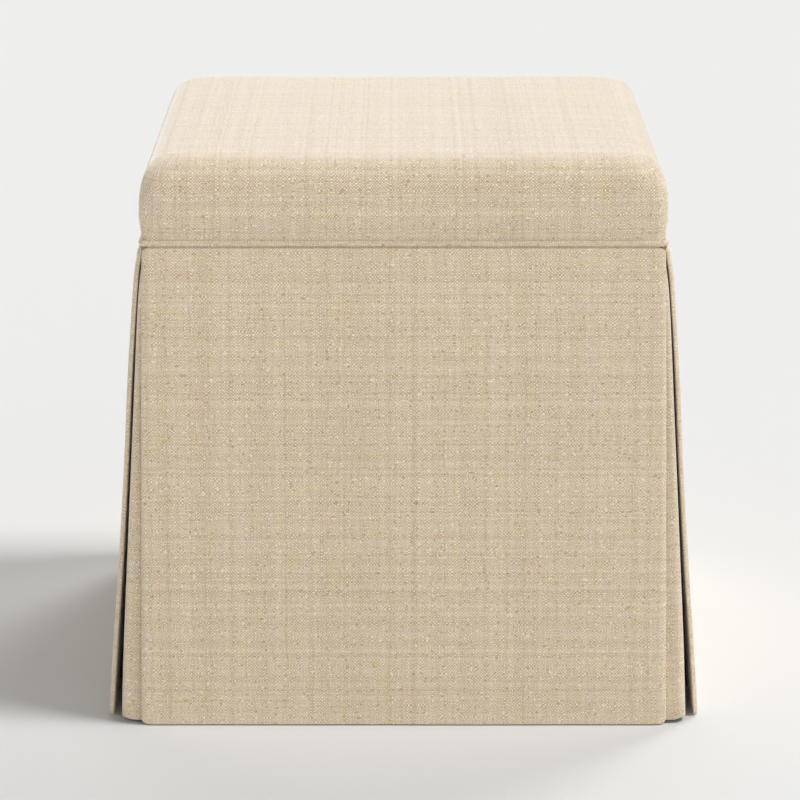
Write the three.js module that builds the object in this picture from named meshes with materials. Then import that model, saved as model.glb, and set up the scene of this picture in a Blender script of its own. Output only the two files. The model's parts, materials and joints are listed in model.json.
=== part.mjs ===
// Skirted storage ottoman: a padded lid with a welt lifts off a plain wooden box, and the box carries
// a tailored skirt of four flat panels with an underlay round each corner.
// Millimetres, +Z up. The origin is on the floor under the middle, and the front faces -Y.

import * as THREE from 'three';

// ---------------------------------------------------------------- driving dimensions

const hemWidth = 482.6; // across the skirt at its hem, both ways
const seatHeight = 459.5; // floor to the edge of the cushion's top
const pieceGap = 0.3; // air between pieces that touch

const box = { width: 407, rim: 391, wall: 12, base: 12 };
const foot = { width: 45, height: 20, fromMiddle: 160 };
const lid = { boardWidth: 403.4, board: 6, locator: 15, locatorPlay: 1, cornerRadius: 4 };
const welt = { thickness: 5.4, reach: 207.4, cornerRadius: 7 };

// Reach is the distance from the middle to the cushion's side
const cushion = {
  seamReach: 207,
  seamCorner: 9,
  widestReach: 210,
  widestCorner: 24,
  widestAbove: 29.4, // height of the widest line above the cushion's flat underside
  topRoll: 22, // how far the rounded top edge comes in
  rollFullness: 0.9, // 1 is a plain ellipse, and less is squarer
  topCorner: 26,
  crown: 3.5, // rise of the middle of the top
};

const panel = {
  thickness: 4, // face cloth, interlining and lining, sewn as one
  topHalfWidth: 207.4,
  hemHalfWidth: 213.2,
  hem: 3, // its height above the floor
  hemCorner: 5.5, // rounding of the two lower corners
  hemRoll: 2,
  hemThinning: 0.65, // share of its thickness that the hem's rounded fold loses at the very edge
  edgeRoll: 6.5, // width of the soft turn along the side edges
  edgeThickness: 0.8,
  shoulderOut: 211.7, // where the turned-over top edge stands out furthest
  shoulderRadius: 5.5,
  shoulderHeight: 385, // where the flat of the panel ends and the turn begins
  shoulderCorner: 4, // how much narrower the panel is where it is tacked to the box
};

const underlay = {
  thickness: 2.5,
  arm: 60, // cloth behind each panel, measured from the corner
  hem: 3.3,
  topFold: 2.8, // outside radius of the corner fold, in plan
  hemFold: 6.5,
  hemLift: 4, // rounding of the fold's lower end
  hemLiftWidth: 11,
};

// Steps that the round and curved stretches are divided into
const steps = {
  flareCurve: 90,
  panelHem: 4,
  panelHeight: 16,
  panelShoulder: 5,
  panelEdge: 4,
  underlayFold: 6,
  underlayHeight: 14,
  boardCorner: 6,
  weltCorner: 8,
  weltRound: 8,
  cushionCorner: 6,
  cushionSide: 7,
  cushionRoll: 9,
  cushionCrown: 5,
};

// Outer face of a skirt panel, from the middle of the ottoman, from the hem up to the shoulder
const panelFlare = [
  { height: panel.hem, reach: hemWidth / 2 },
  { height: 57, reach: 236.8 },
  { height: 134, reach: 230.5 },
  { height: 210, reach: 225.2 },
  { height: 284, reach: 220.9 },
  { height: 346, reach: 216.2 },
  { height: 385.6, reach: 211.66 },
];

// Outer face of a corner underlay, from its hem up to the box's rim
const underlayFlare = [
  { height: underlay.hem, reach: 229.6 },
  { height: 62, reach: 227 },
  { height: 137, reach: 222.9 },
  { height: 252, reach: 216.4 },
  { height: 349, reach: 210.8 },
  { height: 386.2, reach: 206.3 },
];

// ---------------------------------------------------------------- places worked out from them

const boxReach = box.width / 2;
const cloth = boxReach + pieceGap; // where cloth lies against the box
const boardBottom = box.rim + pieceGap;
const boardTop = boardBottom + lid.board;
const cushionBottom = boardTop + pieceGap;
const weltHeight = cushionBottom - pieceGap - welt.thickness / 2;
const widestHeight = cushionBottom + cushion.widestAbove;
const shoulderReach = panel.shoulderOut - panel.shoulderRadius;

// ---------------------------------------------------------------- materials

const finishes = {
  seatCloth: { color: 0xd9c9ac, roughness: 0.92, metalness: 0 },
  weltCloth: { color: 0xd6c4a3, roughness: 0.92, metalness: 0 },
  skirtCloth: { color: 0xd2c1a1, roughness: 0.92, metalness: 0 },
  underlayCloth: { color: 0xc9b898, roughness: 0.92, metalness: 0 },
  board: { color: 0xcbae82, roughness: 0.7, metalness: 0 },
  footWood: { color: 0x6b5138, roughness: 0.6, metalness: 0 },
};

function named(name, geometry, finish) {
  const mesh = new THREE.Mesh(geometry, new THREE.MeshStandardMaterial(finishes[finish]));
  mesh.name = name;
  return mesh;
}

// ---------------------------------------------------------------- shared shapes

const quarterTurn = Math.PI / 2;
const fullTurn = Math.PI * 2;
const mix = THREE.MathUtils.lerp;

// Joins rings that all have the same number of points. Each ring runs counter-clockwise seen from the
// end that the stack grows towards.
function sideFaces(ringCount, pointCount, closed) {
  const faces = [];
  const spans = closed ? ringCount : ringCount - 1;
  for (let ring = 0; ring < spans; ring++) {
    for (let point = 0; point < pointCount; point++) {
      const next = (point + 1) % pointCount;
      const low = ring * pointCount;
      const high = ((ring + 1) % ringCount) * pointCount;
      faces.push(low + point, low + next, high + next);
      faces.push(low + point, high + next, high + point);
    }
  }
  return faces;
}

// Fills a ring by joining each point to the one across from it
function capFaces(start, pointCount, facesUp) {
  const faces = [];
  for (let near = 0; near < pointCount / 2 - 1; near++) {
    const [a, b] = [start + near, start + near + 1];
    const [c, d] = [start + pointCount - 2 - near, start + pointCount - 1 - near];
    faces.push(a, b, c, a, c, d);
  }
  return facesUp ? faces : faces.reverse();
}

function loft(rings, closed = false) {
  const count = rings[0].length;
  const faces = sideFaces(rings.length, count, closed);
  if (!closed) {
    faces.push(...capFaces(0, count, false));
    faces.push(...capFaces((rings.length - 1) * count, count, true));
  }
  const geometry = new THREE.BufferGeometry();
  geometry.setAttribute('position', new THREE.Float32BufferAttribute(rings.flat(2), 3));
  geometry.setIndex(faces);
  geometry.computeVertexNormals();
  return geometry;
}

// Points and outward directions round a square with round corners, counter-clockwise seen from above
function roundedSquare(reach, corner, arcSteps) {
  const points = [];
  for (let quarter = 0; quarter < 4; quarter++) {
    const middle = (quarter + 0.5) * quarterTurn;
    const away = Math.SQRT2 * (reach - corner);
    for (let step = 0; step <= arcSteps; step++) {
      const angle = (quarter + step / arcSteps) * quarterTurn;
      const [out, side] = [Math.cos(angle), Math.sin(angle)];
      const x = away * Math.cos(middle) + corner * out;
      const y = away * Math.sin(middle) + corner * side;
      points.push({ x, y, out, side });
    }
  }
  return points;
}

// Reads the reach of a hanging cloth at any height off a smooth curve through a flare table
function reachAlong(flare) {
  const knots = flare.map((row) => new THREE.Vector2(row.reach, row.height));
  const samples = new THREE.SplineCurve(knots).getPoints(steps.flareCurve);
  return (height) => {
    const found = samples.findIndex((sample) => sample.y >= height);
    const high = found < 0 ? samples.length - 1 : Math.max(found, 1);
    const [below, above] = [samples[high - 1], samples[high]];
    return mix(below.x, above.x, (height - below.y) / (above.y - below.y));
  };
}

// ---------------------------------------------------------------- wooden box

// Four like boards with mitred ends stand round the base
function boxWall() {
  const mitreGap = pieceGap / Math.SQRT2;
  const [outer, inner] = [boxReach - mitreGap, boxReach - box.wall - mitreGap];
  const plan = new THREE.Shape();
  plan.moveTo(-outer, -boxReach);
  plan.lineTo(outer, -boxReach);
  plan.lineTo(inner, -boxReach + box.wall);
  plan.lineTo(-inner, -boxReach + box.wall);
  plan.closePath();
  const depth = box.rim - foot.height;
  return new THREE.ExtrudeGeometry(plan, { depth, bevelEnabled: false });
}

function addBox(group) {
  ['front', 'right', 'back', 'left'].forEach((side, turn) => {
    const wall = named(`box_${side}`, boxWall(), 'board');
    wall.position.z = foot.height;
    wall.rotation.z = turn * quarterTurn;
    group.add(wall);
  });

  const baseWidth = box.width - 2 * (box.wall + pieceGap);
  const base = named('box_base', new THREE.BoxGeometry(baseWidth, baseWidth, box.base), 'board');
  base.position.z = foot.height + box.base / 2;
  group.add(base);
}

function addFeet(group) {
  const height = foot.height - pieceGap;
  for (const [depthName, depthSign] of [['front', -1], ['back', 1]]) {
    for (const [sideName, sideSign] of [['left', -1], ['right', 1]]) {
      const block = new THREE.BoxGeometry(foot.width, foot.width, height);
      const mesh = named(`foot_${depthName}_${sideName}`, block, 'footWood');
      mesh.position.set(sideSign * foot.fromMiddle, depthSign * foot.fromMiddle, height / 2);
      group.add(mesh);
    }
  }
}

// ---------------------------------------------------------------- skirt panels

// How much a round corner of the given radius takes off at a distance from its tangent end
function roundingInset(radius, along) {
  if (along >= radius) return 0;
  return radius - Math.sqrt(radius ** 2 - (radius - along) ** 2);
}

// Heights of the rows above the hem: close together round the hem's corners, then even to the top
function panelRises() {
  const rises = [];
  for (let step = 0; step < steps.panelHem; step++) {
    rises.push(panel.hemCorner * (1 - Math.cos((step / steps.panelHem) * quarterTurn)));
  }
  const top = panelFlare.at(-1).height - panel.hem;
  for (let step = 0; step <= steps.panelHeight; step++) {
    rises.push(mix(panel.hemCorner, top, step / steps.panelHeight));
  }
  return rises;
}

// One row across the panel: where its outer face is, which way that faces, how wide it is there, and
// what share of its thickness it has
function panelRow(rise, top, reachAt) {
  const height = panel.hem + rise;
  const slope = reachAt(height - 1) - reachAt(height + 1);
  const length = Math.hypot(2, slope);
  const width = mix(panel.hemHalfWidth, panel.topHalfWidth, rise / top);
  const rolled = roundingInset(panel.hemRoll, rise) / panel.hemRoll;
  return {
    height,
    reach: reachAt(height),
    out: 2 / length,
    up: slope / length,
    half: width - roundingInset(panel.hemCorner, rise),
    fullness: 1 - panel.hemThinning * rolled,
  };
}

function panelRows() {
  const reachAt = reachAlong(panelFlare);
  const rises = panelRises();
  return [...rises.map((rise) => panelRow(rise, rises.at(-1), reachAt)), ...shoulderRows()];
}

// The cloth turns in over a soft shoulder and its top edge is tacked to the box
function shoulderRows() {
  const rows = [];
  for (let step = 1; step <= steps.panelShoulder; step++) {
    const angle = (step / steps.panelShoulder) * quarterTurn;
    rows.push({
      height: panel.shoulderHeight + panel.shoulderRadius * Math.sin(angle),
      reach: shoulderReach + panel.shoulderRadius * Math.cos(angle),
      out: Math.cos(angle),
      up: Math.sin(angle),
      half: panel.topHalfWidth - panel.shoulderCorner * (1 - Math.cos(angle)),
      fullness: 1,
    });
  }
  rows.push({ ...rows.at(-1), reach: cloth });
  return rows;
}

// Half of the panel's cross-section, from the middle to one side edge: how far in from the edge each
// point is, and how far the outer face has turned back there
function edgeTurn() {
  const turn = [];
  for (let step = 0; step <= steps.panelEdge; step++) {
    const angle = (step / steps.panelEdge) * quarterTurn;
    turn.push({
      fromEdge: panel.edgeRoll * (1 - Math.sin(angle)),
      back: (panel.thickness - panel.edgeThickness) * (1 - Math.cos(angle)),
    });
  }
  return turn;
}

function panelRing(row) {
  const turn = edgeTurn();
  const right = turn.map(({ fromEdge, back }) => ({ across: row.half - fromEdge, back }));
  const left = [...right].reverse().map(({ across, back }) => ({ across: -across, back }));
  const face = [...left, ...right];
  const inside = [...face].reverse().map(({ across }) => ({ across, back: panel.thickness }));
  const middle = panel.thickness / 2;
  return [...face, ...inside].map(({ across, back }) => {
    const inward = middle + (back - middle) * row.fullness;
    return [across, -(row.reach - inward * row.out), row.height - inward * row.up];
  });
}

function addSkirtPanels(group) {
  const rings = panelRows().map(panelRing);
  ['front', 'right', 'back', 'left'].forEach((side, turn) => {
    const mesh = named(`skirt_${side}`, loft(rings), 'skirtCloth');
    mesh.rotation.z = turn * quarterTurn;
    group.add(mesh);
  });
}

// ---------------------------------------------------------------- corner underlays

// Plan of an underlay at the front right corner: points along one face of the cloth, from the free end
// of the front arm round the fold to the free end of the side arm
function underlayFace(reach, fold, depth) {
  const face = reach - depth;
  const radius = fold - depth;
  const centre = reach - fold;
  const armEnd = reach - underlay.arm;
  const armNear = centre - underlay.hemLiftWidth;
  const arm = [armEnd, mix(armEnd, armNear, 0.5), armNear].map((x) => [x, -face]);
  const turn = [];
  for (let step = 0; step <= steps.underlayFold; step++) {
    const angle = (step / steps.underlayFold - 1) * quarterTurn;
    turn.push([centre + radius * Math.cos(angle), -centre + radius * Math.sin(angle)]);
  }
  return [...arm, ...turn, ...[...arm].reverse().map(([x, y]) => [-y, -x])];
}

// Height of the lower edge along the cloth: it lifts a little at the fold
function underlayHem(x, y) {
  const fromFold = Math.abs(x + y) / Math.SQRT2;
  const near = Math.max(0, 1 - (fromFold / underlay.hemLiftWidth) ** 2);
  return underlay.hem + underlay.hemLift * near ** 2;
}

function underlayRing(share, reachAt) {
  const top = underlayFlare.at(-1).height;
  const level = mix(underlay.hem, top, share);
  const fold = mix(underlay.hemFold, underlay.topFold, share);
  const reach = reachAt(level);
  const outer = underlayFace(reach, fold, 0);
  const inner = underlayFace(reach, fold, underlay.thickness);
  const heights = outer.map(([x, y]) => mix(underlayHem(x, y), top, share));
  const lift = (points) => points.map(([x, y], index) => [x, y, heights[index]]);
  return [...lift(outer), ...lift(inner).reverse()];
}

function addUnderlays(group) {
  const reachAt = reachAlong(underlayFlare);
  const rings = [];
  for (let row = 0; row <= steps.underlayHeight; row++) {
    rings.push(underlayRing(row / steps.underlayHeight, reachAt));
  }
  ['front_right', 'back_right', 'back_left', 'front_left'].forEach((corner, turn) => {
    const mesh = named(`underlay_${corner}`, loft(rings), 'underlayCloth');
    mesh.rotation.z = turn * quarterTurn;
    group.add(mesh);
  });
}

// ---------------------------------------------------------------- lid

function roundedBoard(reach, corner, thickness) {
  const square = roundedSquare(reach, corner, steps.boardCorner);
  const outline = square.map(({ x, y }) => new THREE.Vector2(x, y));
  const settings = { depth: thickness, bevelEnabled: false };
  return new THREE.ExtrudeGeometry(new THREE.Shape(outline), settings);
}

function addLidBoards(group) {
  const boardShape = roundedBoard(lid.boardWidth / 2, lid.cornerRadius, lid.board);
  const board = named('lid_board', boardShape, 'board');
  board.position.z = boardBottom;
  group.add(board);

  const locatorReach = boxReach - box.wall - lid.locatorPlay;
  const locatorShape = roundedBoard(locatorReach, lid.cornerRadius, lid.locator);
  const locator = named('lid_locator', locatorShape, 'board');
  locator.position.z = boardBottom - pieceGap - lid.locator;
  group.add(locator);
}

// Piping sewn round the lower edge of the cushion's cover
function addWelt(group) {
  const radius = welt.thickness / 2;
  const seam = roundedSquare(welt.reach - radius, welt.cornerRadius, steps.weltCorner);
  const rings = seam.map(({ x, y, out, side }) => {
    const ring = [];
    for (let step = 0; step < steps.weltRound; step++) {
      const angle = (-step / steps.weltRound) * fullTurn;
      const away = radius * Math.cos(angle);
      ring.push([x + away * out, y + away * side, weltHeight + radius * Math.sin(angle)]);
    }
    return ring;
  });
  group.add(named('lid_welt', loft(rings, true), 'weltCloth'));
}

// Each of these gives levels of the cushion: its reach, its height and the radius of its corners
function cushionSide() {
  const levels = [];
  for (let step = 0; step < steps.cushionSide; step++) {
    const share = step / steps.cushionSide;
    const swell = Math.sin(share * quarterTurn);
    levels.push({
      height: mix(cushionBottom, widestHeight, share),
      reach: mix(cushion.seamReach, cushion.widestReach, swell),
      corner: mix(cushion.seamCorner, cushion.widestCorner, swell),
    });
  }
  return levels;
}

function cushionTopEdge() {
  const levels = [];
  for (let step = 0; step <= steps.cushionRoll; step++) {
    const angle = (step / steps.cushionRoll) * quarterTurn;
    const rise = Math.sin(angle) ** cushion.rollFullness;
    const inward = 1 - Math.max(Math.cos(angle), 0) ** cushion.rollFullness;
    levels.push({
      height: mix(widestHeight, seatHeight, rise),
      reach: cushion.widestReach - cushion.topRoll * inward,
      corner: mix(cushion.widestCorner, cushion.topCorner, rise),
    });
  }
  return levels;
}

function cushionTop() {
  const levels = [];
  for (let step = 1; step < steps.cushionCrown; step++) {
    const share = 1 - step / steps.cushionCrown;
    levels.push({
      height: seatHeight + cushion.crown * (1 - share ** 2),
      reach: (cushion.widestReach - cushion.topRoll) * share,
      corner: cushion.topCorner * share,
    });
  }
  return levels;
}

function addCushion(group) {
  const levels = [...cushionSide(), ...cushionTopEdge(), ...cushionTop()];
  const rings = levels.map(({ height, reach, corner }) =>
    roundedSquare(reach, corner, steps.cushionCorner).map(({ x, y }) => [x, y, height]),
  );
  group.add(named('lid_cushion', loft(rings), 'seatCloth'));
}

// ---------------------------------------------------------------- the whole ottoman

function ottoman() {
  const group = new THREE.Group();
  addBox(group);
  addFeet(group);
  addSkirtPanels(group);
  addUnderlays(group);
  addLidBoards(group);
  addWelt(group);
  addCushion(group);
  return group;
}

export default ottoman();
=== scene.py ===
# A skirted storage ottoman: the padded lid lifts off a wooden box, and the box carries a lined skirt of
# four flat panels with a folded underlay behind each corner. Metres, +Z up, front towards -Y.
import json
import math

import bmesh
import bpy
import numpy as np
from mathutils import Matrix, Vector, noise

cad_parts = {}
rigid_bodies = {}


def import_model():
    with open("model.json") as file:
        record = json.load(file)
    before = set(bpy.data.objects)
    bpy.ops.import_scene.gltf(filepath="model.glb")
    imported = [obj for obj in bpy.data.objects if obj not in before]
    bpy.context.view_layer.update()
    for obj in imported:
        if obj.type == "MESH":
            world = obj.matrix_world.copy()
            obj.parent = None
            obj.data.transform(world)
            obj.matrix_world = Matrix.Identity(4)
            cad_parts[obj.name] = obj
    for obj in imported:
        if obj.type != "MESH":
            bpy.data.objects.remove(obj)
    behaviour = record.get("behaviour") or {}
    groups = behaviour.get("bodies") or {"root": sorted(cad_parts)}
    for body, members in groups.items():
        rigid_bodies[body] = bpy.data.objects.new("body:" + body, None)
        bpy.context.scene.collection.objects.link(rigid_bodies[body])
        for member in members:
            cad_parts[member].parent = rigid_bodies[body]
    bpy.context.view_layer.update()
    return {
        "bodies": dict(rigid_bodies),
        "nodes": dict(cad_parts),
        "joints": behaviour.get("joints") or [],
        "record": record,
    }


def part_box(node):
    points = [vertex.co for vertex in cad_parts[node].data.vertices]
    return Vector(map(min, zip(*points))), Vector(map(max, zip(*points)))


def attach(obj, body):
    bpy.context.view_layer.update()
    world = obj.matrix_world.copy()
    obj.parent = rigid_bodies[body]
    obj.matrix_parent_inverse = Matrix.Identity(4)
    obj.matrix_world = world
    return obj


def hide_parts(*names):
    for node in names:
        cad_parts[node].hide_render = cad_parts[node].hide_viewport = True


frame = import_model()

quarterTurn = math.pi / 2
sides = ["front", "right", "back", "left"]
corners = ["front_right", "back_right", "back_left", "front_left"]


# short ways to build a node tree
def feed(tree, socket, value):
    if isinstance(value, bpy.types.NodeSocket):
        tree.links.new(value, socket)
    else:
        socket.default_value = value


def place(tree, kind, settings=None, inputs=None):
    node = tree.nodes.new(kind)
    for name, value in (settings or {}).items():
        setattr(node, name, value)
    for name, value in (inputs or {}).items():
        feed(tree, node.inputs[name], value)
    return node


def calc(tree, operation, *values):
    node = place(tree, "ShaderNodeMath", {"operation": operation})
    for socket, value in zip(node.inputs, values):
        feed(tree, socket, value)
    return node.outputs[0]


def mixColor(tree, share, first, second, way="MIX"):
    node = place(tree, "ShaderNodeMix", {"data_type": "RGBA", "blend_type": way})
    for index, value in ((0, share), (6, first), (7, second)):
        feed(tree, node.inputs[index], value)
    return node.outputs[2]


def softStep(tree, value, low, high):
    node = place(tree, "ShaderNodeMapRange", {"interpolation_type": "SMOOTHSTEP"})
    for name, number in (("Value", value), ("From Min", low), ("From Max", high)):
        feed(tree, node.inputs[name], number)
    return node.outputs["Result"]


def joinXYZ(tree, x, y, z=0.0):
    node = place(tree, "ShaderNodeCombineXYZ")
    for socket, value in zip(node.inputs, (x, y, z)):
        feed(tree, socket, value)
    return node.outputs[0]


def noiseValue(tree, vector, scale, detail=0.0, roughness=0.5):
    inputs = {"Vector": vector, "Scale": scale, "Detail": detail, "Roughness": roughness}
    return place(tree, "ShaderNodeTexNoise", None, inputs).outputs[0]


def newGroup(name, kind, inputs, outputs):
    tree = bpy.data.node_groups.new(name, kind)
    for label, socketType, default in inputs:
        socket = tree.interface.new_socket(label, in_out="INPUT", socket_type=socketType)
        if default is not None:
            socket.default_value = default
    for label, socketType in outputs:
        tree.interface.new_socket(label, in_out="OUTPUT", socket_type=socketType)
    return tree, tree.nodes.new("NodeGroupInput").outputs, tree.nodes.new("NodeGroupOutput").inputs


# woven linen, shared by every cloth: how the weave varies, with lengths in metres along the cloth
weaving = {
    "toneStep": 13.7,  # how far apart two threads read the noise
    "wanderAcross": 0.006, "wanderAlong": 0.016, "warpWander": 1.0, "weftWander": 0.8,
    "leastGap": 0.25, "moreGap": 1.5,
    "sideFall": 0.45, "endFall": 0.6,  # how far a thread's surface drops towards its sides and its ends
    "leastContrast": 0.65, "moreContrast": 0.7,
    "bandWidth": 0.006, "bandLength": 0.09,
    "tintWidth": 0.0065, "tintLength": 0.035, "tintFrom": 0.02, "tintFull": 0.35,
    "fleckAcross": 0.0085, "fleckAlong": 0.0065, "fleckCore": 0.05, "fleckRim": 0.17, "fleckChoice": 0.6,
    "roughness": 0.9, "roughnessByTone": 0.14,
}
# each pattern reads its own place in the noise
noisePlaces = {
    "warpWander": 41.0, "weftWander": 47.0, "skips": 53.0, "warpGaps": 71.0, "weftGaps": 79.0,
    "weftTone": 31.0, "warpBands": 3.0, "weftBands": 9.0, "warpTints": 17.0, "weftTints": 23.0,
}


def randomValue(tree, *parts):
    node = place(tree, "ShaderNodeTexWhiteNoise", {"noise_dimensions": "3D"},
                 {"Vector": joinXYZ(tree, *parts)})
    return node.outputs["Value"]


# a thread's own tone, and the thick and thin stretches along it
def threadTone(tree, index, along, seed, given):
    own = calc(tree, "SUBTRACT", randomValue(tree, index, seed), 0.5)
    far = calc(tree, "MULTIPLY", index, weaving["toneStep"])
    stretch = calc(tree, "DIVIDE", along, given["Slub Length"])
    slub = calc(tree, "SUBTRACT", noiseValue(tree, joinXYZ(tree, far, stretch, seed), 1.0, 1.0), 0.5)
    return calc(tree, "ADD", calc(tree, "MULTIPLY", slub, given["Slubs"]),
                calc(tree, "MULTIPLY", own, given["Thread Tones"]))


def buildLinenGroup():
    tree, given, result = newGroup(
        "woven linen", "ShaderNodeTree",
        [("Cloth", "NodeSocketVector", None), ("Thread Spacing", "NodeSocketFloat", 0.00135),
         ("Wander", "NodeSocketFloat", 0.0003), ("Slub Length", "NodeSocketFloat", 0.012),
         ("Evenness", "NodeSocketFloat", 0.96), ("Level", "NodeSocketFloat", 0.5),
         ("Slubs", "NodeSocketFloat", 1.0), ("Thread Tones", "NodeSocketFloat", 0.3),
         ("Weft Share", "NodeSocketFloat", 0.6), ("Crossing Light And Shade", "NodeSocketFloat", 1.0),
         ("Bands", "NodeSocketFloat", 0.3), ("Gap Shade", "NodeSocketFloat", 0.3),
         ("Fleck Amount", "NodeSocketFloat", 0.5), ("Seed", "NodeSocketFloat", 0.0),
         ("Light Thread", "NodeSocketColor", (0.8, 0.7, 0.5, 1)),
         ("Dark Thread", "NodeSocketColor", (0.5, 0.4, 0.3, 1)),
         ("Pink Tint", "NodeSocketColor", (0.8, 0.7, 0.6, 1)),
         ("Straw Tint", "NodeSocketColor", (0.8, 0.7, 0.5, 1)),
         ("Gap", "NodeSocketColor", (0.3, 0.2, 0.05, 1)),
         ("Fleck", "NodeSocketColor", (0.3, 0.2, 0.1, 1))],
        [("Color", "NodeSocketColor"), ("Height", "NodeSocketFloat"), ("Roughness", "NodeSocketFloat")])

    # threads vary in thickness, so their spacing wanders
    parts = place(tree, "ShaderNodeSeparateXYZ", None, {0: given["Cloth"]}).outputs
    seed = given["Seed"]

    def wandering(across, along, offset, share):
        spot = joinXYZ(tree, calc(tree, "DIVIDE", across, weaving["wanderAcross"]),
                       calc(tree, "DIVIDE", along, weaving["wanderAlong"]), calc(tree, "ADD", seed, offset))
        sway = calc(tree, "SUBTRACT", noiseValue(tree, spot, 1.0, 2.0), 0.5)
        reach = calc(tree, "MULTIPLY", given["Wander"], share)
        return calc(tree, "ADD", across, calc(tree, "MULTIPLY", sway, reach))

    across = wandering(parts[0], parts[1], noisePlaces["warpWander"], weaving["warpWander"])
    along = wandering(parts[1], parts[0], noisePlaces["weftWander"], weaving["weftWander"])
    x = calc(tree, "DIVIDE", across, given["Thread Spacing"])
    y = calc(tree, "DIVIDE", along, given["Thread Spacing"])
    warp, weft = calc(tree, "FLOOR", x), calc(tree, "FLOOR", y)

    # 0 in the middle of a thread and 1 at its sides
    def fromMiddle(position, number):
        middle = calc(tree, "SUBTRACT", calc(tree, "SUBTRACT", position, number), 0.5)
        return calc(tree, "MULTIPLY", calc(tree, "MULTIPLY", middle, middle), 4.0)

    # over and under change places at each crossing, with a skip here and there
    skipPlace = calc(tree, "ADD", seed, noisePlaces["skips"])
    skipped = calc(tree, "GREATER_THAN", randomValue(tree, warp, weft, skipPlace), given["Evenness"])
    turns = calc(tree, "ADD", calc(tree, "ADD", warp, weft), skipped)
    weftOnTop = calc(tree, "FLOORED_MODULO", turns, 2.0)

    # some gaps between threads open wider than others, which deepens both their bump and their painted shade
    def openness(number, offset):
        chance = randomValue(tree, number, calc(tree, "ADD", seed, offset))
        return calc(tree, "ADD", weaving["leastGap"], calc(tree, "MULTIPLY", chance, weaving["moreGap"]))

    xOff = calc(tree, "MULTIPLY", fromMiddle(x, warp), openness(warp, noisePlaces["warpGaps"]))
    yOff = calc(tree, "MULTIPLY", fromMiddle(y, weft), openness(weft, noisePlaces["weftGaps"]))

    # the rounded top of the thread that lies on top
    def bead(sideways, lengthways):
        sideFall = calc(tree, "MULTIPLY", sideways, weaving["sideFall"])
        endFall = calc(tree, "MULTIPLY", lengthways, weaving["endFall"])
        return calc(tree, "MULTIPLY", calc(tree, "SUBTRACT", 1.0, sideFall),
                    calc(tree, "SUBTRACT", 1.0, endFall))

    def whichever(forWarp, forWeft):
        node = place(tree, "ShaderNodeMix", {"data_type": "FLOAT"})
        for index, value in ((0, weftOnTop), (2, forWarp), (3, forWeft)):
            feed(tree, node.inputs[index], value)
        return node.outputs[0]

    height = whichever(bead(xOff, yOff), bead(yOff, xOff))
    warpTone = threadTone(tree, warp, along, seed, given)
    weftTone = calc(tree, "MULTIPLY", given["Weft Share"],
                    threadTone(tree, weft, across, calc(tree, "ADD", seed, noisePlaces["weftTone"]), given))
    tone = whichever(warpTone, weftTone)

    # soft bands along both thread directions cross into patches
    def bands(first, second, wide, long, offset):
        vector = joinXYZ(tree, calc(tree, "DIVIDE", first, wide), calc(tree, "DIVIDE", second, long),
                         calc(tree, "ADD", seed, offset))
        return calc(tree, "SUBTRACT", noiseValue(tree, vector, 1.0, 1.0), 0.5)

    wide, long = weaving["bandWidth"], weaving["bandLength"]
    patch = calc(tree, "ADD", bands(across, along, wide, long, noisePlaces["warpBands"]),
                 bands(along, across, wide, long, noisePlaces["weftBands"]))
    chance = randomValue(tree, warp, weft, seed)
    uneven = calc(tree, "ADD", weaving["leastContrast"],
                  calc(tree, "MULTIPLY", weaving["moreContrast"], chance))
    # painted light and shade: crossings with the warp on top are made lighter and those with the weft on top
    # darker, by a random amount, for light falling differently on threads that run each way
    over = calc(tree, "MULTIPLY", calc(tree, "SUBTRACT", 0.5, weftOnTop), uneven)
    level = calc(tree, "ADD", calc(tree, "ADD", given["Level"], tone),
                 calc(tree, "MULTIPLY", over, given["Crossing Light And Shade"]))
    level = calc(tree, "ADD", level, calc(tree, "MULTIPLY", patch, given["Bands"]))
    threadColor = mixColor(tree, level, given["Dark Thread"], given["Light Thread"])

    # some stretches lean to pink and others to straw
    wide, long = weaving["tintWidth"], weaving["tintLength"]
    warmth = calc(tree, "SUBTRACT", bands(across, along, wide, long, noisePlaces["warpTints"]),
                  bands(along, across, wide, long, noisePlaces["weftTints"]))
    coolness = calc(tree, "MULTIPLY", warmth, -1.0)
    pink = softStep(tree, warmth, weaving["tintFrom"], weaving["tintFull"])
    straw = softStep(tree, coolness, weaving["tintFrom"], weaving["tintFull"])
    tinted = mixColor(tree, pink, threadColor, given["Pink Tint"], "MULTIPLY")
    tinted = mixColor(tree, straw, tinted, given["Straw Tint"], "MULTIPLY")

    # painted shade: the colour darkens toward the gap colour where a thread's surface drops toward its sides
    # and ends, into the hollows between threads
    gapShading = calc(tree, "MULTIPLY", calc(tree, "SUBTRACT", 1.0, height), given["Gap Shade"])
    shaded = mixColor(tree, gapShading, tinted, given["Gap"])

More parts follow.
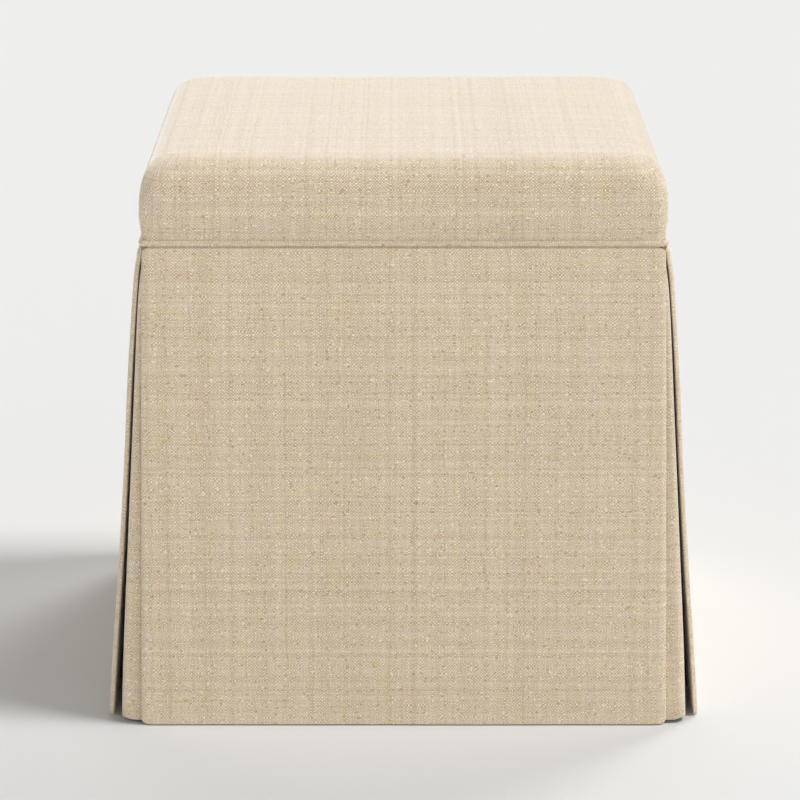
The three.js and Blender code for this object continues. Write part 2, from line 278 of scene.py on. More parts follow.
    # small brown flecks, a little longer along the weft
    spot = joinXYZ(tree, calc(tree, "DIVIDE", across, weaving["fleckAcross"]),
                   calc(tree, "DIVIDE", along, weaving["fleckAlong"]), seed)
    cells = place(tree, "ShaderNodeTexVoronoi", {"voronoi_dimensions": "2D"}, {"Vector": spot, "Scale": 1.0})
    chosen = place(tree, "ShaderNodeSeparateColor", None, {0: cells.outputs["Color"]}).outputs
    faded = softStep(tree, cells.outputs["Distance"], weaving["fleckCore"], weaving["fleckRim"])
    near = calc(tree, "SUBTRACT", 1.0, faded)
    picked = calc(tree, "GREATER_THAN", chosen[0], weaving["fleckChoice"])
    depth = calc(tree, "MULTIPLY", calc(tree, "MULTIPLY", near, picked), chosen[1])
    fleck = calc(tree, "MULTIPLY", depth, given["Fleck Amount"])
    feed(tree, result["Color"], mixColor(tree, fleck, shaded, given["Fleck"]))
    feed(tree, result["Height"], height)
    rougher = calc(tree, "MULTIPLY", tone, weaving["roughnessByTone"])
    feed(tree, result["Roughness"], calc(tree, "ADD", weaving["roughness"], rougher))
    return tree


linenGroup = buildLinenGroup()


def srgb(*levels):
    return tuple((level / 255) ** 2.2 for level in levels) + (1,)


def clothMaterial(name, look):
    material = bpy.data.materials.new(name)
    material.use_nodes = True
    tree = material.node_tree
    shader = tree.nodes["Principled BSDF"]
    cloth = place(tree, "ShaderNodeUVMap", {"uv_map": "weave"}).outputs[0]
    turned = place(tree, "ShaderNodeMapping", None,
                   {"Vector": cloth, "Rotation": (0, 0, look["turn"])}).outputs[0]
    weave = place(tree, "ShaderNodeGroup", {"node_tree": linenGroup}, {
        "Cloth": turned, "Thread Spacing": look["spacing"], "Wander": look["wander"],
        "Slub Length": look["slubLength"], "Slubs": look["slubs"], "Thread Tones": look["threadTones"],
        "Weft Share": look["weftShare"], "Evenness": look["evenness"],
        "Level": look["level"], "Crossing Light And Shade": look["over"], "Gap": look["gapShadeColor"],
        "Bands": look["bands"], "Gap Shade": look["gapShading"],
        "Fleck Amount": look["fleck"], "Seed": look["seed"],
        "Light Thread": look["light"], "Dark Thread": look["dark"],
        "Pink Tint": look["pink"], "Straw Tint": look["straw"], "Fleck": look["fleckColor"]})
    bump = place(tree, "ShaderNodeBump", None,
                 {"Height": weave.outputs["Height"], "Distance": look["relief"], "Strength": look["bump"]})
    feed(tree, shader.inputs["Base Color"], weave.outputs["Color"])
    feed(tree, shader.inputs["Roughness"], weave.outputs["Roughness"])
    feed(tree, shader.inputs["Normal"], bump.outputs[0])
    shader.inputs["Specular IOR Level"].default_value = look["specular"]
    shader.inputs["Sheen Weight"].default_value = look["sheen"]
    shader.inputs["Sheen Roughness"].default_value = look["sheenRoughness"]
    shader.inputs["Sheen Tint"].default_value = look["sheenTint"]
    return material


linen = {
    # the gap colour and its strength paint shade into the hollows between threads; the crossing strength
    # paints light and shade on the crossings
    "light": srgb(245, 233, 213), "dark": srgb(200, 177, 143), "gapShadeColor": srgb(155, 120, 65),
    "fleckColor": srgb(142, 110, 74),
    "pink": srgb(255, 249, 252), "straw": srgb(255, 253, 240),
    "spacing": 0.00128, "wander": 0.0054, "slubLength": 0.016, "slubs": 1.0, "threadTones": 0.8,
    "weftShare": 0.4, "evenness": 0.98,
    "level": 0.72, "over": 0.84, "bands": 0.15, "gapShading": 0.6, "fleck": 0.55,
    "relief": 0.0003, "bump": 0.35, "turn": 0.0, "seed": 0.0,
    "specular": 0.1, "sheen": 0.62, "sheenRoughness": 0.5, "sheenTint": (1, 1, 1, 1),
}
seatLinen = clothMaterial("seat linen", {**linen, "seed": 4.0})
pipingLinen = clothMaterial("piping linen", {**linen, "seed": 11.0, "turn": math.pi / 4})
skirtLinen = clothMaterial("skirt linen", {**linen, "seed": 2.0})
underlayLinen = clothMaterial("underlay linen", {**linen, "seed": 7.0})
print("cloth materials made")


# short ways to build a mesh
mergeDistance = 1e-6


def addPatch(build, weave, points, cloth):
    rows, columns = len(points), len(points[0])
    verts = [[build.verts.new(point) for point in row] for row in points]
    for row in range(rows - 1):
        for column in range(columns - 1):
            ring = [(row, column), (row, column + 1), (row + 1, column + 1), (row + 1, column)]
            face = build.faces.new([verts[r][c] for r, c in ring])
            face.smooth = True
            for loop, (r, c) in zip(face.loops, ring):
                loop[weave].uv = cloth[r][c]


def sewPiece(name, patches, material):
    mesh = bpy.data.meshes.new(name)
    build = bmesh.new()
    weave = build.loops.layers.uv.new("weave")
    for points, cloth in patches:
        addPatch(build, weave, points, cloth)
    bmesh.ops.remove_doubles(build, verts=build.verts, dist=mergeDistance)
    bmesh.ops.recalc_face_normals(build, faces=build.faces)
    build.to_mesh(mesh)
    build.free()
    mesh.materials.append(material)
    piece = bpy.data.objects.new(name, mesh)
    bpy.context.collection.objects.link(piece)
    return piece


# a smooth curve through the knots
def smoothCurve(knots, perSpan):
    knots = np.array(knots, float)
    padded = np.vstack([2 * knots[0] - knots[1], knots, 2 * knots[-1] - knots[-2]])
    points = []
    for a, b, c, d in zip(padded, padded[1:], padded[2:], padded[3:]):
        for t in np.linspace(0, 1, perSpan, endpoint=False):
            points.append(0.5 * (2 * b + (c - a) * t + (2 * a - 5 * b + 4 * c - d) * t ** 2
                                 + (3 * b - a - 3 * c + d) * t ** 3))
    return np.array(points + [knots[-1]])


def lengthAlong(points):
    steps = np.linalg.norm(np.diff(points, axis=0), axis=1)
    return np.concatenate([[0], np.cumsum(steps)])


def evenly(points, distances):
    run = lengthAlong(points)
    return np.stack([np.interp(distances, run, points[:, axis]) for axis in range(points.shape[1])], axis=1)


# how full a rounded edge is at this share of its width
def rounding(share):
    return math.sqrt(max(0.0, 1 - (1 - min(share, 1)) ** 2))


def ripple(x, z, seed):
    return noise.noise(Vector((x, z, seed)))


skirtPanel = {
    "thickness": 0.004,
    "hemHalf": 0.2132, "topHalf": 0.2074,
    "hemCorner": 0.0055,
    "edgeRoll": 0.0065, "edgeBack": 0.0033,  # the side edges turn back this far over this width
    "hemRoll": 0.0005, "liningRoll": 0.0012,
    "shoulderDepth": 0.0046, "shoulderRise": 0.009, "shoulderSquareness": 2.0, "shoulderCorner": 0.003,
    "lipEnd": 0.0003, "lipDrop": 0.00005,  # air between the tacked edge and the box
    "waviness": 0.0007, "wavesAcross": 9, "wavesUp": 4, "waveSeed": 3.0, "waveSeedStep": 7,
    # height and reach of the face, from the hem up
    "flare": [(0.0006, 0.2410), (0.057, 0.2368), (0.134, 0.2305), (0.210, 0.2252),
              (0.284, 0.2209), (0.346, 0.2162), (0.370, 0.2139), (0.3826, 0.2117)],
    "hemPull": {"front": 0.0060, "right": 0.0, "back": 0.0060, "left": 0.0},  # these two hang closer in
    "pullHeight": 0.26, "pullFade": 1.5,
    "flareSteps": 24, "shoulderSteps": 16, "roundSteps": 9, "faceRows": 90, "lipRows": 34, "columns": 92,
    "lipLength": 0.016,
    # each piece is cut from its own place in the cloth
    "clothStep": 0.61, "faceCloth": 0.2, "endCloth": 0.7, "liningCloth": 1.4,
}


def panelSection(p, boxReach):
    face = smoothCurve(p["flare"], p["flareSteps"])[:, ::-1]
    angles = np.linspace(0, quarterTurn, p["shoulderSteps"])[1:]
    power = 2 / p["shoulderSquareness"]
    turn = np.stack([face[-1][0] - p["shoulderDepth"] * (1 - np.maximum(np.cos(angles), 0) ** power),
                     face[-1][1] + p["shoulderRise"] * np.sin(angles) ** power], axis=1)
    return np.vstack([face, turn, [[boxReach + p["lipEnd"], turn[-1][1] - p["lipDrop"]]]])


def panelSheets(p, boxReach, hemPull, seed):
    section = panelSection(p, boxReach)
    total = lengthAlong(section)[-1]
    roundSteps = 1 - np.cos(np.linspace(0, quarterTurn, p["roundSteps"]))
    lipStart = total - p["lipLength"]
    distances = np.concatenate([p["hemCorner"] * roundSteps,
                                np.linspace(p["hemCorner"], lipStart, p["faceRows"])[1:],
                                np.linspace(lipStart, total, p["lipRows"])[1:]])
    rows = evenly(section, distances)
    rows[:, 0] -= hemPull * np.maximum(0, 1 - rows[:, 1] / p["pullHeight"]) ** p["pullFade"]
    slopes = np.gradient(rows, axis=0)
    rollSteps = p["edgeRoll"] * roundSteps
    flareLow, flareTop = p["flare"][0][0], p["flare"][-1][0]
    outer, inner = [], []
    for (reach, height), (dReach, dHeight), rise in zip(rows, slopes, distances):
        length = math.hypot(dReach, dHeight)
        out, up = dHeight / length, -dReach / length
        share = min(1, max(0, (height - flareLow) / (flareTop - flareLow)))
        half = p["hemHalf"] + (p["topHalf"] - p["hemHalf"]) * share
        half -= p["hemCorner"] * (1 - rounding(rise / p["hemCorner"]))
        half -= p["shoulderCorner"] * (1 - out) if height > flareTop else 0
        inset = np.concatenate([rollSteps, np.linspace(p["edgeRoll"], half, p["columns"] // 2 + 1)[1:]])
        acrosses = np.concatenate([-half + inset, (half - inset)[::-1][1:]])
        hemFull = rounding(rise / p["hemRoll"])
        liningHem = rounding(rise / p["liningRoll"])
        outerRow, innerRow = [], []
        for across in acrosses:
            edge = half - abs(across)
            wave = ripple(across * p["wavesAcross"], height * p["wavesUp"], seed)
            wave = p["waviness"] * wave * (1 - share) ** 0.5
            bulge = p["edgeBack"] * rounding(edge / p["edgeRoll"]) * hemFull
            under = (p["thickness"] - p["edgeBack"]) * rounding(edge / p["liningRoll"]) * liningHem
            for row, offset in ((outerRow, bulge - p["edgeBack"]), (innerRow, -p["edgeBack"] - under)):
                deep = offset + wave
                row.append((across, -(reach + deep * out), height + deep * up))
        outer.append(outerRow)
        inner.append(innerRow)
    return np.array(outer), np.array(inner)


# where each point lies on the flat cloth
def clothAlong(points, shift):
    steps = np.linalg.norm(np.diff(points, axis=1), axis=2)
    run = np.concatenate([np.zeros((len(points), 1)), np.cumsum(steps, axis=1)], axis=1)
    run -= run[:, [run.shape[1] // 2]]
    middle = points[:, points.shape[1] // 2]
    rise = lengthAlong(middle)
    return np.stack([run + shift[0], np.repeat(rise[:, None], run.shape[1], axis=1) + shift[1]], axis=2)


def turned(points, turn):
    spin = np.array(Matrix.Rotation(turn * quarterTurn, 3, "Z"))
    return points @ spin.T


boxReach = -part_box("box_front")[0].y
panels = {}
for turn, side in enumerate(sides):
    waveSeed = skirtPanel["waveSeed"] + skirtPanel["waveSeedStep"] * turn
    outer, inner = panelSheets(skirtPanel, boxReach, skirtPanel["hemPull"][side], waveSeed)
    layers = ((outer, "faceCloth"), (inner, "liningCloth"), (np.array([outer[-1], inner[-1]]), "endCloth"))
    patches = [(turned(layer, turn), clothAlong(layer, (skirtPanel["clothStep"] * turn, skirtPanel[cut])))
               for layer, cut in layers]
    panels[side] = sewPiece(f"skirtPanel_{side}", patches, skirtLinen)
print("skirt panels made")


underlay = {
    "thickness": 0.0025, "edge": 0.0012,
    "arm": 0.060,
    "topFold": 0.0028, "hemFold": 0.0065, "toeFold": 0.0095, "toeHeight": 0.012,  # the toe rounds off more
    "hemLift": 0.0013, "liftWidth": 0.009,
    "flare": [(0.0024, 0.2296), (0.062, 0.227), (0.137, 0.2229), (0.252, 0.2164),
              (0.349, 0.2108), (0.3862, 0.2063)],
    "flareSteps": 20, "armColumns": 26, "foldColumns": 19, "armStart": 0.0006,
    "hemShare": 0.03, "hemRows": 10, "rows": 60,  # the rows lie closer in this share above the hem
    "clothStart": 0.1, "clothStep": 0.37, "liningCloth": 0.9,
}


# one arm, the fold round the corner, and the other arm, seen from above
def underlayPlan(p, reach, fold, depth):
    arm = reach - fold - np.linspace(p["arm"] - fold, p["armStart"], p["armColumns"])
    arc = np.linspace(-quarterTurn, 0, p["foldColumns"])
    radius = fold - depth
    bend = np.stack([reach - fold + radius * np.cos(arc), fold - reach + radius * np.sin(arc)], axis=1)
    front = np.stack([arm, np.full(len(arm), -(reach - depth))], axis=1)
    side = np.stack([-front[::-1, 1], -front[::-1, 0]], axis=1)
    return np.vstack([front, bend, side])


def underlaySheets(p):
    curve = smoothCurve(p["flare"], p["flareSteps"])
    low, high = p["flare"][0][0], p["flare"][-1][0]
    shares = np.concatenate([np.linspace(0, p["hemShare"], p["hemRows"]),
                             np.linspace(p["hemShare"], 1, p["rows"])[1:]])
    outer, inner = [], []
    for share in shares:
        level = low + (high - low) * share
        reach = np.interp(level, curve[:, 0], curve[:, 1])
        toe = max(0, 1 - (level - low) / p["toeHeight"]) ** 2
        fold = p["hemFold"] + (p["topFold"] - p["hemFold"]) * share + (p["toeFold"] - p["hemFold"]) * toe
        plan = underlayPlan(p, reach, fold, 0)
        back = underlayPlan(p, reach, fold, p["thickness"])
        run = lengthAlong(plan)
        fromEnd = np.minimum(run, run[-1] - run)
        fromFold = np.abs(plan[:, 0] + plan[:, 1]) / math.sqrt(2)
        lift = p["hemLift"] * np.maximum(0, 1 - (fromFold / p["liftWidth"]) ** 2) ** 2
        heights = (low + lift) * (1 - share) + high * share
        rise = level - low
        outerRow, innerRow = [], []
        for front, rear, height, end in zip(plan, back, heights, fromEnd):
            middle = (front + rear) / 2
            full = rounding(rise / p["edge"]) * rounding(end / p["edge"])
            full *= rounding((high - level) / p["edge"])
            for row, face in ((outerRow, front), (innerRow, rear)):
                at = middle + (face - middle) * full
                row.append((at[0], at[1], height))
        outer.append(outerRow)
        inner.append(innerRow)
    return np.array(outer), np.array(inner)


underlays = {}
outer, inner = underlaySheets(underlay)
for turn, corner in enumerate(corners):
    cut = underlay["clothStep"] * turn + underlay["clothStart"]
    patches = [(turned(outer, turn), clothAlong(outer, (cut, 0.0))),
               (turned(inner, turn), clothAlong(inner, (cut, underlay["liningCloth"])))]
    underlays[corner] = sewPiece(f"cornerUnderlay_{corner}", patches, underlayLinen)
print("underlays made")


cushion = {
    "seamCorner": 0.0075, "widestCorner": 0.013, "topCorner": 0.026,
    "seamReach": 0.2074, "widestReach": 0.2094, "widestAbove": 0.0285,
    "tuck": [(0.2036, 0.0), (0.2050, -0.0011), (0.2062, -0.0015), (0.2071, -0.0014), (0.2077, -0.0009)],
    "topRoll": 0.0210, "fullness": 0.97,
    "edgeHeight": 0.4611,
    "across": 84, "sideRows": 14, "rollRows": 21,
}
tinyStep = 1e-9
indexSlack = 1e-6


# reach, height and corner radius of each ring, from the seam up to the top's edge
def cushionProfile(p, low):
    widest, widestHeight = p["widestReach"], low.z + p["widestAbove"]
    levels = [(reach, low.z + drop, p["seamCorner"]) for reach, drop in p["tuck"]]
    for share in np.linspace(0, 1, p["sideRows"])[:-1]:
        swell = math.sin(share * quarterTurn)
        levels.append((p["seamReach"] + (widest - p["seamReach"]) * swell, low.z + p["widestAbove"] * share,
                       p["seamCorner"] + (p["widestCorner"] - p["seamCorner"]) * swell))
    for angle in np.linspace(0, quarterTurn, p["rollRows"]):
        rise = math.sin(angle) ** p["fullness"]
        inward = 1 - max(0, math.cos(angle)) ** p["fullness"]
        levels.append((widest - p["topRoll"] * inward, widestHeight + (p["edgeHeight"] - widestHeight) * rise,
                       p["widestCorner"] + (p["topCorner"] - p["widestCorner"]) * rise))
    return levels


# one quarter of a ring: x, y and the run along it
def sideOutline(reach, corner, count):
    straight = reach - corner
    half = straight + corner * quarterTurn / 2
    points = []
    for run in np.linspace(-half, half, count + 1):
        past = abs(run) - straight
        if past <= 0:
            points.append((run, -reach, run))
        else:
            angle = past / corner
            points.append((math.copysign(straight + corner * math.sin(angle), run),
                           -(straight + corner * math.cos(angle)), run))
    return np.array(points)


# a point of the square grid inside an outline, and how far out it lies as a share
def spotOnGrid(outline, a, b, count):
    far = max(abs(a), abs(b))
    if far == 0:
        return 0.0, 0.0, far
    if b <= -abs(a) + tinyStep:
        turn = 0
    elif a >= abs(b) - tinyStep:
        turn = 1
    elif b >= abs(a) - tinyStep:
        turn = 2
    else:
        turn = 3
    along = (a, b, -a, -b)[turn] / far
    index = (along + 1) / 2 * count
    base = int(min(count - 1, math.floor(index + indexSlack)))
    share = index - base
    px, py = outline[base, :2] * (1 - share) + outline[base + 1, :2] * share
    x, y, _ = turned(np.array([px, py, 0.0]) * far, turn)
    return x, y, far


def makeCushion(p, low, high):
    levels = cushionProfile(p, low)
    count = p["across"]
    profile = np.array([(reach, height) for reach, height, _ in levels])
    fall = lengthAlong(profile)[-1] - lengthAlong(profile)
    patches = []
    for turn in range(4):
        points, cloth = [], []
        for (reach, height, corner), down in zip(levels, fall):
            ring = sideOutline(reach, corner, count)
            points.append(np.stack([ring[:, 0], ring[:, 1], np.full(count + 1, height)], axis=1))
            flat = np.stack([ring[:, 2], np.full(count + 1, -levels[-1][0] - down)], axis=1)
            cloth.append(flat @ np.array(Matrix.Rotation(turn * quarterTurn, 2)).T)
        patches.append((turned(np.array(points), turn), np.array(cloth)))
    crown = high.z - p["edgeHeight"]
    for level, rise in ((levels[-1], crown), (levels[0], 0.0)):
        outline = sideOutline(level[0], level[2], count)
        grid = np.zeros((count + 1, count + 1, 3))
        for row in range(count + 1):
            for column in range(count + 1):
                x, y, far = spotOnGrid(outline, 2 * column / count - 1, 2 * row / count - 1, count)
                grid[row, column] = (x, y, level[1] + rise * (1 - far ** 2))
        patches.append((grid, grid[:, :, :2]))
    return sewPiece("seatCushion", patches, seatLinen)


cushionLow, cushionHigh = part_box("lid_cushion")
seatCushion = makeCushion(cushion, cushionLow, cushionHigh)
print("cushion made")


# the rings above give the cushion its form, and the simulation only settles the cover within a small cap:
# pressure lifts the top and draws the sides in, so the top starts lower and the sides start wider
filling = {"ahead": 0.0010, "pressure": 4.0, "frames": 20, "furthest": 0.0012, "held": 0.004, "eased": 0.022}


def pointsOf(mesh):
    flat = np.empty(len(mesh.vertices) * 3)
    mesh.vertices.foreach_get("co", flat)
    return flat.reshape(-1, 3)


def fillOut(piece, p, seamHeight):
    mesh, stage = piece.data, bpy.context.scene
    full = pointsOf(mesh)
    normals = np.array([tuple(vertex.normal) for vertex in mesh.vertices])
    above = full[:, 2] - seamHeight
    ease = np.clip((above - p["held"]) / p["eased"], 0, 1)[:, None]
    start = full + normals * p["ahead"] * (1 - 2 * normals[:, 2:] ** 2) * ease
    mesh.vertices.foreach_set("co", start.ravel())
    held = piece.vertex_groups.new(name="stitched")
    held.add(np.nonzero(above <= p["held"])[0].tolist(), 1.0, "REPLACE")
    swell = piece.modifiers.new("swell", "CLOTH")
    swell.settings.use_pressure = True
    swell.settings.uniform_pressure_force = p["pressure"]
    swell.settings.vertex_group_mass = held.name
    swell.settings.effector_weights.gravity = 0
    swell.point_cache.frame_start, swell.point_cache.frame_end = 1, p["frames"]
    for frame in range(1, p["frames"] + 1):
        stage.frame_set(frame)
    swollen = piece.evaluated_get(bpy.context.evaluated_depsgraph_get())
    moved = pointsOf(swollen.data) - start
    distance = np.maximum(np.linalg.norm(moved, axis=1), tinyStep)[:, None]
    moved *= p["furthest"] * np.tanh(distance / p["furthest"]) / distance
    piece.modifiers.remove(swell)
    piece.vertex_groups.remove(held)
    mesh.vertices.foreach_set("co", (start + moved).ravel())
    mesh.update()
    stage.frame_set(1)
    print("cushion filled, furthest move", round(float(np.linalg.norm(moved, axis=1).max()) * 1000, 2), "mm")


fillOut(seatCushion, filling, cushionLow.z)


# piping round the lower edge of the cover
piping = {"proud": 0.0026, "corner": 0.0042, "thickness": 0.0049, "height": 0.3942, "unevenness": 0.00025,
          "bumpScale": 60.0, "bumpDetail": 2.0, "sections": 700, "round": 14, "cornerSteps": 12, "seed": 1.0}


def buildPipingTree():
    tree, given, result = newGroup(
        "piping round the lid", "GeometryNodeTree",
        [("Reach", "NodeSocketFloat", 0.2), ("Corner", "NodeSocketFloat", 0.007),
         ("Thickness", "NodeSocketFloat", 0.005), ("Height", "NodeSocketFloat", 0.4),
         ("Unevenness", "NodeSocketFloat", 0.0002), ("Sections", "NodeSocketInt", 700),
         ("Round", "NodeSocketInt", 14), ("Seed", "NodeSocketFloat", 1.0),
         ("Cloth", "NodeSocketMaterial", None)],
        [("Geometry", "NodeSocketGeometry")])
    width = calc(tree, "MULTIPLY", given["Reach"], 2.0)
    square = place(tree, "GeometryNodeCurvePrimitiveQuadrilateral", None, {"Width": width, "Height": width})
    rounded = place(tree, "GeometryNodeFilletCurve", {"mode": "POLY"},
                    {"Curve": square.outputs[0], "Count": piping["cornerSteps"], "Radius": given["Corner"]})
    path = place(tree, "GeometryNodeResampleCurve", None,
                 {"Curve": rounded.outputs[0], "Count": given["Sections"]})
    seedOffset = joinXYZ(tree, given["Seed"], 0.0, 0.0)
    position = place(tree, "GeometryNodeInputPosition").outputs[0]
    moved = place(tree, "ShaderNodeVectorMath", {"operation": "ADD"}, {0: position, 1: seedOffset}).outputs[0]
    rough = place(tree, "ShaderNodeTexNoise", None,
                  {"Vector": moved, "Scale": piping["bumpScale"], "Detail": piping["bumpDetail"]})
    centred = place(tree, "ShaderNodeVectorMath", {"operation": "SUBTRACT"},
                    {0: rough.outputs[1], 1: (0.5, 0.5, 0.5)})
    uneven = place(tree, "ShaderNodeVectorMath", {"operation": "SCALE"},
                   {0: centred.outputs[0], "Scale": given["Unevenness"]})
    raised = place(tree, "ShaderNodeVectorMath", {"operation": "ADD"},
                   {0: uneven.outputs[0], 1: joinXYZ(tree, 0.0, 0.0, given["Height"])})
    laid = place(tree, "GeometryNodeSetPosition", None,
                 {"Geometry": path.outputs[0], "Offset": raised.outputs[0]})
    along = place(tree, "GeometryNodeSplineParameter")
    caught = place(tree, "GeometryNodeCaptureAttribute")
    caught.capture_items.new("FLOAT", "Along")
    feed(tree, caught.inputs["Geometry"], laid.outputs[0])
    feed(tree, caught.inputs["Along"], along.outputs["Length"])
    radius = calc(tree, "MULTIPLY", given["Thickness"], 0.5)
    cord = place(tree, "GeometryNodeCurvePrimitiveCircle", None,
                 {"Resolution": given["Round"], "Radius": radius})
    cordCaught = place(tree, "GeometryNodeCaptureAttribute")
    cordCaught.capture_items.new("FLOAT", "Round")
    feed(tree, cordCaught.inputs["Geometry"], cord.outputs[0])
    feed(tree, cordCaught.inputs["Round"], along.outputs["Length"])
    swept = place(tree, "GeometryNodeCurveToMesh", None,
                  {"Curve": caught.outputs["Geometry"], "Profile Curve": cordCaught.outputs["Geometry"]})
    smooth = place(tree, "GeometryNodeSetShadeSmooth", None, {"Geometry": swept.outputs[0]})
    stored = place(tree, "GeometryNodeStoreNamedAttribute", {"data_type": "FLOAT2", "domain": "CORNER"},
                   {"Geometry": smooth.outputs[0], "Name": "weave",
                    "Value": joinXYZ(tree, caught.outputs["Along"], cordCaught.outputs["Round"])})
    real = place(tree, "GeometryNodeRealizeInstances", None, {"Geometry": stored.outputs[0]})
    dressed = place(tree, "GeometryNodeSetMaterial", None,
                    {"Geometry": real.outputs[0], "Material": given["Cloth"]})
    feed(tree, result["Geometry"], dressed.outputs[0])
    return tree


def growPiece(name, tree, values):
    seedMesh = bpy.data.meshes.new(name)
    grower = bpy.data.objects.new(name + "_grower", seedMesh)
    bpy.context.collection.objects.link(grower)
    modifier = grower.modifiers.new("grow", "NODES")
    modifier.node_group = tree
    sockets = {item.name: item.identifier for item in tree.interface.items_tree if item.in_out == "INPUT"}
    for label, value in values.items():
        modifier[sockets[label]] = value
    grown = bpy.data.meshes.new_from_object(grower.evaluated_get(bpy.context.evaluated_depsgraph_get()))
    grower.modifiers.remove(modifier)
    bpy.data.objects.remove(grower)
    grown.name = name
    piece = bpy.data.objects.new(name, grown)
    bpy.context.collection.objects.link(piece)
    return piece


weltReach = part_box("lid_welt")[1].x
lidPiping = growPiece("lidPiping", buildPipingTree(), {
    "Reach": weltReach + piping["proud"] - piping["thickness"] / 2, "Corner": piping["corner"],
    "Thickness": piping["thickness"], "Height": piping["height"], "Unevenness": piping["unevenness"],
    "Sections": piping["sections"], "Round": piping["round"], "Seed": piping["seed"], "Cloth": pipingLinen})
print("piping made:", len(lidPiping.data.polygons), "faces")


# boards and feet
graining = {
    "figureDetail": 4.0, "figureRoughness": 0.6, "figureShare": 0.75, "poreShare": 0.25,
    "poreScale": 9.0, "poreDetail": 2.0, "poreFrom": 0.42, "poreFull": 0.62,
    "darkAt": 0.3, "lightAt": 0.75, "plyShade": 0.75, "plyChange": 0.4,
    "roughness": 0.5, "roughnessByPores": 0.2, "relief": 0.0002, "bump": 0.3,
}


def buildWoodGroup():
    tree, given, result = newGroup(
        "wood grain", "ShaderNodeTree",
        [("Place", "NodeSocketVector", None), ("Stretch", "NodeSocketVector", (1.0, 1.0, 0.1)),
         ("Scale", "NodeSocketFloat", 60.0), ("Light Wood", "NodeSocketColor", (0.7, 0.5, 0.3, 1)),
         ("Dark Wood", "NodeSocketColor", (0.5, 0.35, 0.2, 1)), ("Edge", "NodeSocketFloat", 0.0),
         ("Ply Depth", "NodeSocketFloat", 0.0), ("Ply", "NodeSocketFloat", 0.0014)],
        [("Color", "NodeSocketColor"), ("Height", "NodeSocketFloat"), ("Roughness", "NodeSocketFloat")])
    stretched = place(tree, "ShaderNodeVectorMath", {"operation": "MULTIPLY"},
                      {0: given["Place"], 1: given["Stretch"]}).outputs[0]
    figure = noiseValue(tree, stretched, given["Scale"],
                        graining["figureDetail"], graining["figureRoughness"])
    fineScale = calc(tree, "MULTIPLY", given["Scale"], graining["poreScale"])
    fine = noiseValue(tree, stretched, fineScale, graining["poreDetail"])
    pores = softStep(tree, fine, graining["poreFrom"], graining["poreFull"])
    grain = calc(tree, "ADD", calc(tree, "MULTIPLY", figure, graining["figureShare"]),
                 calc(tree, "MULTIPLY", pores, graining["poreShare"]))
    lightness = softStep(tree, grain, graining["darkAt"], graining["lightAt"])
    face = mixColor(tree, lightness, given["Dark Wood"], given["Light Wood"])
    turns = calc(tree, "DIVIDE", given["Ply Depth"], given["Ply"])
    band = calc(tree, "FLOORED_MODULO", calc(tree, "FLOOR", turns), 2.0)
    shade = calc(tree, "SUBTRACT", graining["plyShade"], calc(tree, "MULTIPLY", band, graining["plyChange"]))
    stripe = calc(tree, "MULTIPLY", shade, given["Edge"])
    darkened = mixColor(tree, stripe, face, given["Dark Wood"], "MULTIPLY")
    feed(tree, result["Color"], darkened)
    feed(tree, result["Height"], grain)
    rougher = calc(tree, "MULTIPLY", pores, graining["roughnessByPores"])
    feed(tree, result["Roughness"], calc(tree, "ADD", graining["roughness"], rougher))
    return tree


woodGroup = buildWoodGroup()


def woodMaterial(name, look):
    material = bpy.data.materials.new(name)
    material.use_nodes = True
    tree = material.node_tree
    shader = tree.nodes["Principled BSDF"]
    source = place(tree, "ShaderNodeTexCoord").outputs
    spot = place(tree, "ShaderNodeSeparateXYZ", None, {0: source["Object"]}).outputs
    facing = place(tree, "ShaderNodeSeparateXYZ", None, {0: source["Normal"]}).outputs
    level = calc(tree, "ABSOLUTE", facing[2])
    if look["plies"] == "upright":
        edge = calc(tree, "GREATER_THAN", level, 0.5)
        depth = calc(tree, "MAXIMUM", calc(tree, "ABSOLUTE", spot[0]), calc(tree, "ABSOLUTE", spot[1]))
    else:
        edge = calc(tree, "LESS_THAN", level, 0.5)
        depth = spot[2]
    edge = calc(tree, "MULTIPLY", edge, look["plyShade"])
    wood = place(tree, "ShaderNodeGroup", {"node_tree": woodGroup}, {
        "Place": source["Object"], "Stretch": look["stretch"], "Scale": look["scale"],
        "Light Wood": look["light"], "Dark Wood": look["dark"], "Edge": edge, "Ply Depth": depth})
    bump = place(tree, "ShaderNodeBump", None,
                 {"Height": wood.outputs["Height"], "Distance": graining["relief"],
                  "Strength": graining["bump"]})
    feed(tree, shader.inputs["Base Color"], wood.outputs["Color"])
    feed(tree, shader.inputs["Roughness"], wood.outputs["Roughness"])
    feed(tree, shader.inputs["Normal"], bump.outputs[0])
    return material


plywood = {"light": srgb(226, 198, 156), "dark": srgb(196, 160, 116), "scale": 38.0,
           "stretch": (1.0, 1.0, 0.12), "plies": "upright", "plyShade": 1.0}
wallPlywood = woodMaterial("wall plywood", plywood)
lidPlywood = woodMaterial("lid plywood", {**plywood, "plies": "flat", "stretch": (1.0, 0.1, 1.0)})
footStain = woodMaterial("stained foot wood", {
    "light": srgb(126, 92, 62), "dark": srgb(78, 52, 34), "scale": 50.0,
    "stretch": (1.0, 1.0, 0.15), "plies": "flat", "plyShade": 0.0})

nodeFinish = {"box_base": lidPlywood, "lid_board": lidPlywood, "lid_locator": lidPlywood}
nodeFinish.update({f"box_{side}": wallPlywood for side in sides})
nodeFinish.update({f"foot_{corner}": footStain for corner in corners})
for name, finish in nodeFinish.items():
    for holder in frame["nodes"][name].material_slots:
        holder.material = finish
print("boards and feet finished")


# the backdrop shows to the camera and in gloss, and the lamps give all the other light
stageLook = {"floor": srgb(223, 223, 222), "floorReach": 30.0, "ambient": 0.0,
             "backdrop": srgb(241, 241, 241)}
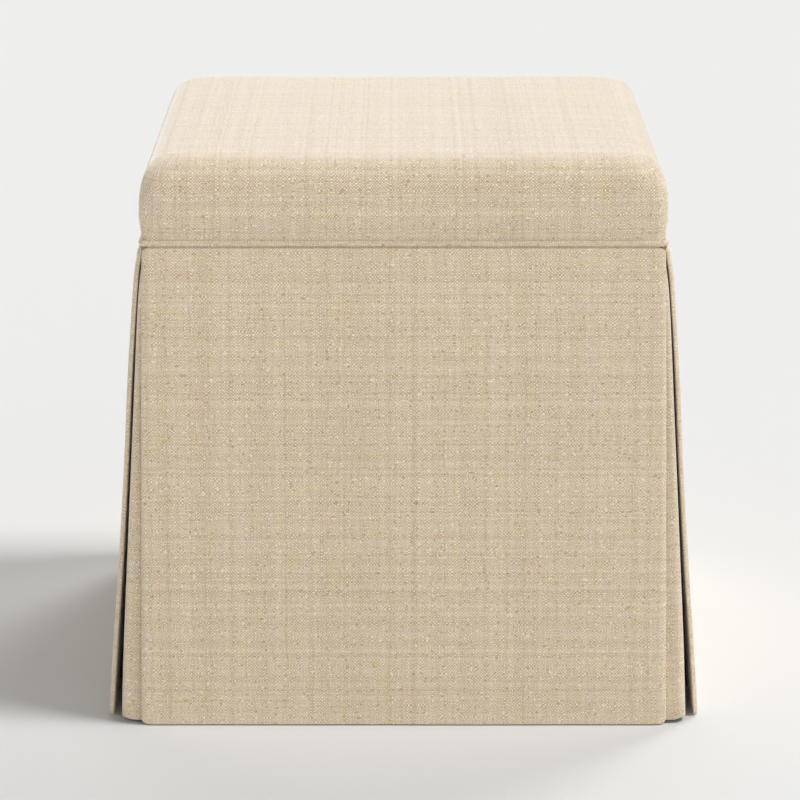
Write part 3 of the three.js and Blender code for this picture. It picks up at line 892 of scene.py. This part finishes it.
# each lamp comes from this many degrees round from the right-hand side (the back is +90) and this high
lamps = {
    "key": {"round": -8, "height": 60, "strength": 1.88, "spread": 18},
    "back": {"round": 57, "height": 51, "strength": 0.83, "spread": 16},
    "softBack": {"round": 90, "height": 5, "strength": 2.8, "spread": 80},
    "front": {"round": -90, "height": 14, "strength": 0.28, "spread": 40},
    "softFront": {"round": -45, "height": 5, "strength": 1.50, "spread": 80},
    "softFrontLeft": {"round": -135, "height": 5, "strength": 0.74, "spread": 80},
    "softLeft": {"round": 180, "height": 18, "strength": 0.70, "spread": 80},
}


def makeFloor(look):
    mesh = bpy.data.meshes.new("floor")
    far = look["floorReach"]
    mesh.from_pydata([(-far, -far, 0), (far, -far, 0), (far, far, 0), (-far, far, 0)], [], [(0, 1, 2, 3)])
    material = bpy.data.materials.new("floor paper")
    material.use_nodes = True
    shader = material.node_tree.nodes["Principled BSDF"]
    shader.inputs["Base Color"].default_value = look["floor"]
    shader.inputs["Roughness"].default_value = 1.0
    shader.inputs["Specular IOR Level"].default_value = 0.0
    mesh.materials.append(material)
    floor = bpy.data.objects.new("floor", mesh)
    bpy.context.collection.objects.link(floor)
    return floor


def addLamp(name, lamp):
    light = bpy.data.lights.new(name, "SUN")
    light.energy = lamp["strength"]
    light.angle = math.radians(lamp["spread"])
    holder = bpy.data.objects.new(name, light)
    across, up = math.radians(lamp["round"]), math.radians(lamp["height"])
    source = Vector((math.cos(across) * math.cos(up), math.sin(across) * math.cos(up), math.sin(up)))
    holder.rotation_euler = source.to_track_quat("Z", "Y").to_euler()
    bpy.context.collection.objects.link(holder)


def setWorld(look):
    world = bpy.data.worlds.new("studio")
    bpy.context.scene.world = world
    world.use_nodes = True
    tree = world.node_tree
    tree.nodes.clear()
    rays = place(tree, "ShaderNodeLightPath").outputs
    seen = calc(tree, "MAXIMUM", rays["Is Camera Ray"],
                calc(tree, "MAXIMUM", rays["Is Glossy Ray"], rays["Is Transmission Ray"]))
    soft = place(tree, "ShaderNodeBackground", None, {"Color": (1, 1, 1, 1), "Strength": look["ambient"]})
    plain = place(tree, "ShaderNodeBackground", None, {"Color": look["backdrop"], "Strength": 1.0})
    both = place(tree, "ShaderNodeMixShader", None, {0: seen, 1: soft.outputs[0], 2: plain.outputs[0]})
    place(tree, "ShaderNodeOutputWorld", None, {"Surface": both.outputs[0]})


# fitted to the outline of the cushion, the welt and the hem; the tilt is in degrees up from straight down
cameraPlace = {"sensor": 36, "lens": 155.57, "at": (-0.003, -2.8772, 0.9816), "tilt": 75}


def addCamera(p):
    camera = bpy.data.objects.new("camera", bpy.data.cameras.new("camera"))
    camera.data.sensor_width = p["sensor"]
    camera.data.lens = p["lens"]
    camera.location = p["at"]
    camera.rotation_euler = (math.radians(p["tilt"]), 0, 0)
    bpy.context.collection.objects.link(camera)
    bpy.context.scene.camera = camera


floor = makeFloor(stageLook)
for name, lamp in lamps.items():
    addLamp(name, lamp)
setWorld(stageLook)
addCamera(cameraPlace)
bpy.context.scene.view_settings.view_transform = "Standard"
print("stage set")


# what each piece rides on and stands for
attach(seatCushion, "lid")
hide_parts("lid_cushion")
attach(lidPiping, "lid")
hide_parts("lid_welt")
for side, piece in panels.items():
    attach(piece, "box")
    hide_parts(f"skirt_{side}")
for corner, piece in underlays.items():
    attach(piece, "box")
    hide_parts(f"underlay_{corner}")

print("pieces placed")
